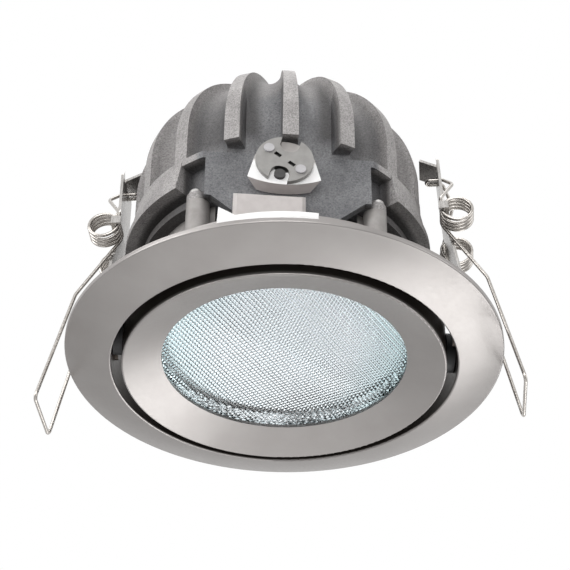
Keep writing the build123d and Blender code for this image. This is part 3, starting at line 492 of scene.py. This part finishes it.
# Prismatic glass: a disc whose lower face carries a diagonal grid of small pyramids
def prism_glass():
    low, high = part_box("glass_lens")
    edge_r = (high[0] - low[0]) / 2
    long_pitch, short_pitch = (pitch * MM for pitch in PRISM_PITCHES)
    groove_z = low[2] + PRISM_DEPTH
    bm = bmesh.new()
    steps = int(PRISM_FACE_R / short_pitch) + 2
    turn = PRISM_TURN
    grid = {}

    def spot(i, j):
        x, y = i * long_pitch, j * short_pitch
        return x * cos(turn) - y * sin(turn), x * sin(turn) + y * cos(turn)

    def corner(i, j):
        if (i, j) not in grid:
            grid[i, j] = bm.verts.new((*spot(i, j), groove_z))
        return grid[i, j]

    for i in range(-steps, steps):
        for j in range(-steps, steps):
            middle = spot(i + 0.5, j + 0.5)
            if hypot(*middle) > PRISM_FACE_R - long_pitch:
                continue
            peak = bm.verts.new((*middle, low[2]))
            ring = [corner(i, j), corner(i, j + 1), corner(i + 1, j + 1), corner(i + 1, j)]
            for a, b in zip(ring, ring[1:] + ring[:1]):
                bm.faces.new((a, b, peak))

    # Outline of the grid, in order, which the plain rim and side are built out from
    boundary = [edge for edge in bm.edges if edge.is_boundary]
    start = boundary[0]
    loop = [start.verts[0], start.verts[1]]
    while len(loop) < len(boundary):
        here = loop[-1]
        nxt = next(e for e in here.link_edges if e.is_boundary and e.other_vert(here) is not loop[-2])
        loop.append(nxt.other_vert(here))
    top = high[2] - SEAL_AIR
    levels = ((edge_r, groove_z), (edge_r, top - GLASS_BEVEL), (edge_r - GLASS_BEVEL, top))
    for radius, z in levels:
        ring = [bm.verts.new((*(Vector(v.co).xy.normalized() * radius), z)) for v in loop]
        for k in range(len(loop)):
            n = (k + 1) % len(loop)
            bm.faces.new((loop[k], loop[n], ring[n], ring[k]))
        loop = ring
    bm.faces.new(loop)
    bmesh.ops.recalc_face_normals(bm, faces=bm.faces)
    piece = mesh_piece("prismatic_lens", bm, "prismatic_glass", "head", smooth=False)
    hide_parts("glass_lens")


prism_glass()


# Blank paper strip stuck round the front of the trim's collar, its left end lifted off
def collar_strip():
    low, high = STRIP_Z
    first, last, lifted = -115.0, -84.5, -110.0
    end_out, end_rise, end_lean = 1.6 * MM, 4.2 * MM, 0.9 * MM
    bm = bmesh.new()
    columns = []
    for k in range(STRIP_COLUMNS + 1):
        azimuth = first + (last - first) * k / STRIP_COLUMNS
        lift = max(0.0, (lifted - azimuth) / (lifted - first))
        out = STRIP_R + lift**2 * end_out
        rise = lift**0.8 * end_rise
        turn = radians(azimuth)
        column = []
        for j in range(STRIP_ROWS + 1):
            z = low + (high - low) * j / STRIP_ROWS + rise
            radius = out - lift * (j / STRIP_ROWS) ** 2 * end_lean
            column.append(bm.verts.new((radius * cos(turn), radius * sin(turn), z)))
        columns.append(column)
    for left, right in zip(columns, columns[1:]):
        for j in range(STRIP_ROWS):
            bm.faces.new((left[j], right[j], right[j + 1], left[j + 1]))
    strip = mesh_piece("collar_strip", bm, "white_ceramic", "trim")
    strip.data.materials[0] = finishes["label_paper"]
    paper = strip.modifiers.new("paper", "SOLIDIFY")
    paper.thickness = STRIP_PAPER
    paper.offset = 0.0


collar_strip()


# Driven recesses in the screw heads
def recessed_screws(node, body, cuts):
    cutter_mesh = bpy.data.meshes.new("recess_cutter")
    bm = bmesh.new()
    for place, turn, size in cuts:
        for width, height in ((size, size * RECESS_ARM), (size * RECESS_ARM, size)):
            made = bmesh.ops.create_cube(bm, size=1.0)["verts"]
            bmesh.ops.scale(bm, vec=(width, height, RECESS_DEPTH), verts=made)
            bmesh.ops.rotate(bm, cent=(0, 0, 0), matrix=turn, verts=made)
            bmesh.ops.translate(bm, vec=place, verts=made)
    bm.to_mesh(cutter_mesh)
    bm.free()
    cutter = bpy.data.objects.new("recess_cutter", cutter_mesh)
    scene.collection.objects.link(cutter)
    piece = bpy.data.objects.new(node + "_recessed", frame["nodes"][node].data.copy())
    scene.collection.objects.link(piece)
    cut = piece.modifiers.new("recess", "BOOLEAN")
    cut.operation = "DIFFERENCE"
    cut.object = cutter
    cut.use_self = True
    bpy.context.view_layer.update()
    depsgraph = bpy.context.evaluated_depsgraph_get()
    shaped = bpy.data.meshes.new_from_object(piece.evaluated_get(depsgraph))
    piece.modifiers.clear()
    piece.data = shaped
    bpy.data.objects.remove(cutter)
    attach(piece, body)
    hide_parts(node)


def four_spots(ring_r, angle, shift, z):
    """Four places in metres on a ring, mirrored about both axes; shift moves the ring along X."""
    spots = []
    for a in (angle, 180 - angle, 180 + angle, -angle):
        spots.append(Vector((shift + ring_r * cos(radians(a)), ring_r * sin(radians(a)), z)) * MM)
    return spots


upright = Matrix.Identity(3)
sideways = Matrix.Rotation(radians(90), 3, "Y")
sink_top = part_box("heat_sink_screws")[1][2] / MM
carrier_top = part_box("carrier_screws")[1][2] / MM
sink_spots = four_spots(49.0, 51.0, DOME_CENTRE[0], sink_top)
carrier_spots = four_spots(50.4, 28.0, 0.0, carrier_top)
recessed_screws("heat_sink_screws", "head", [(spot, upright, SCREW_RECESS) for spot in sink_spots])
recessed_screws("carrier_screws", "head", [(spot, upright, SCREW_RECESS) for spot in carrier_spots])
for side, end in (("left", 0), ("right", 1)):
    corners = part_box(side + "_pivot_screw")
    middle = (Vector(corners[0]) + Vector(corners[1])) / 2
    head_face = Vector((corners[end][0], middle.y, middle.z))
    recessed_screws(side + "_pivot_screw", "head", [(head_face, sideways, PIVOT_RECESS)])


# Floor, light and camera
def pale_floor():
    """Floor that keeps shadows, pale to the camera and in metal, and white through glass."""
    s = Shader("pale_floor")
    s.set(Specular_IOR_Level=0.2, Emission_Color=(1, 1, 1, 1))
    s.colour(s.ramp(s.noise(0.004, 2.0), [(0.3, grey(0.8)), (0.7, grey(0.83))]))
    s.roughness(s.span(s.noise(0.01, 2.0), 0.3, 0.7, 0.85, 0.95))
    path = s.add("ShaderNodeLightPath")
    shown = s.math("MULTIPLY", path.outputs["Is Camera Ray"], FLOOR_SHOWN)
    mirrored = s.math("MULTIPLY", path.outputs["Is Glossy Ray"], FLOOR_MIRRORED)
    seen = s.math("MAXIMUM", shown, mirrored)
    glow = s.math("MAXIMUM", seen, path.outputs["Is Transmission Ray"])
    s.link(glow, s.bsdf.inputs["Emission Strength"])
    return s.mat


def floor():
    bm = bmesh.new()
    bmesh.ops.create_grid(bm, x_segments=4, y_segments=4, size=FLOOR_HALF)
    mesh = bpy.data.meshes.new("floor")
    bm.to_mesh(mesh)
    bm.free()
    obj = bpy.data.objects.new("floor", mesh)
    obj.location = (0, 0, FLOOR_Z)
    scene.collection.objects.link(obj)
    mesh.materials.append(pale_floor())


def world_light(strength):
    """Dim white surroundings that show as plain white to the camera, in metal and through glass."""
    world = bpy.data.worlds.new("studio")
    scene.world = world
    world.use_nodes = True
    tree = world.node_tree
    background = tree.nodes["Background"]
    path = tree.nodes.new("ShaderNodeLightPath")
    seen = path.outputs["Is Camera Ray"]
    for ray in ("Is Glossy Ray", "Is Transmission Ray"):
        either = tree.nodes.new("ShaderNodeMath")
        either.operation = "MAXIMUM"
        tree.links.new(seen, either.inputs[0])
        tree.links.new(path.outputs[ray], either.inputs[1])
        seen = either.outputs[0]
    span = tree.nodes.new("ShaderNodeMapRange")
    span.inputs["To Min"].default_value = strength
    span.inputs["To Max"].default_value = 1.0
    tree.links.new(seen, span.inputs["Value"])
    tree.links.new(span.outputs["Result"], background.inputs["Strength"])
    background.inputs["Color"].default_value = (1, 1, 1, 1)


def soft_box(name, place, aim, size, watts):
    data = bpy.data.lights.new(name, "AREA")
    data.shape = "RECTANGLE"
    data.size, data.size_y = size
    data.energy = watts
    obj = bpy.data.objects.new(name, data)
    obj.location = place
    obj.rotation_euler = (Vector(aim) - Vector(place)).to_track_quat("-Z", "Y").to_euler()
    scene.collection.objects.link(obj)


def photo_camera():
    azimuth, elevation, roll = radians(-4.5), radians(-37.0), radians(0.55)
    distance = 0.6
    target = Vector((0, 0, 30.5 * MM))
    level = cos(elevation)
    towards = Vector((sin(azimuth) * level, -cos(azimuth) * level, sin(elevation)))
    data = bpy.data.cameras.new("photo_camera")
    data.sensor_width = SENSOR_MM
    data.lens = SENSOR_MM * FOCAL_PIXELS / PHOTO_PIXELS
    obj = bpy.data.objects.new("photo_camera", data)
    obj.location = target + towards * distance
    rotation = (-towards).to_track_quat("-Z", "Y").to_matrix()
    obj.rotation_euler = (rotation @ Matrix.Rotation(roll, 3, "Z")).to_euler()
    scene.collection.objects.link(obj)
    scene.camera = obj


floor()
world_light(0.3)
soft_box("key", (0.66, 0.8, -0.95), (0, 0, 0), (0.8, 0.8), 7.0)
soft_box("right", (1.1, -0.45, 0.1), (0, 0, 0.05), (0.7, 0.9), 3)
soft_box("left", (-1.1, -0.6, 0.35), (0, 0, 0.05), (0.8, 0.9), 10)
soft_box("top", (0.05, -0.25, 1.2), (0, 0, 0.06), (0.8, 0.8), 6)
soft_box("front", (-0.15, -1.1, 0.15), (0, 0, 0.05), (0.7, 0.7), 6)
soft_box("bounce", (0.0, 0.75, -0.6), (0.0, 0.75, -1.6), (1.0, 0.8), 9)
photo_camera()
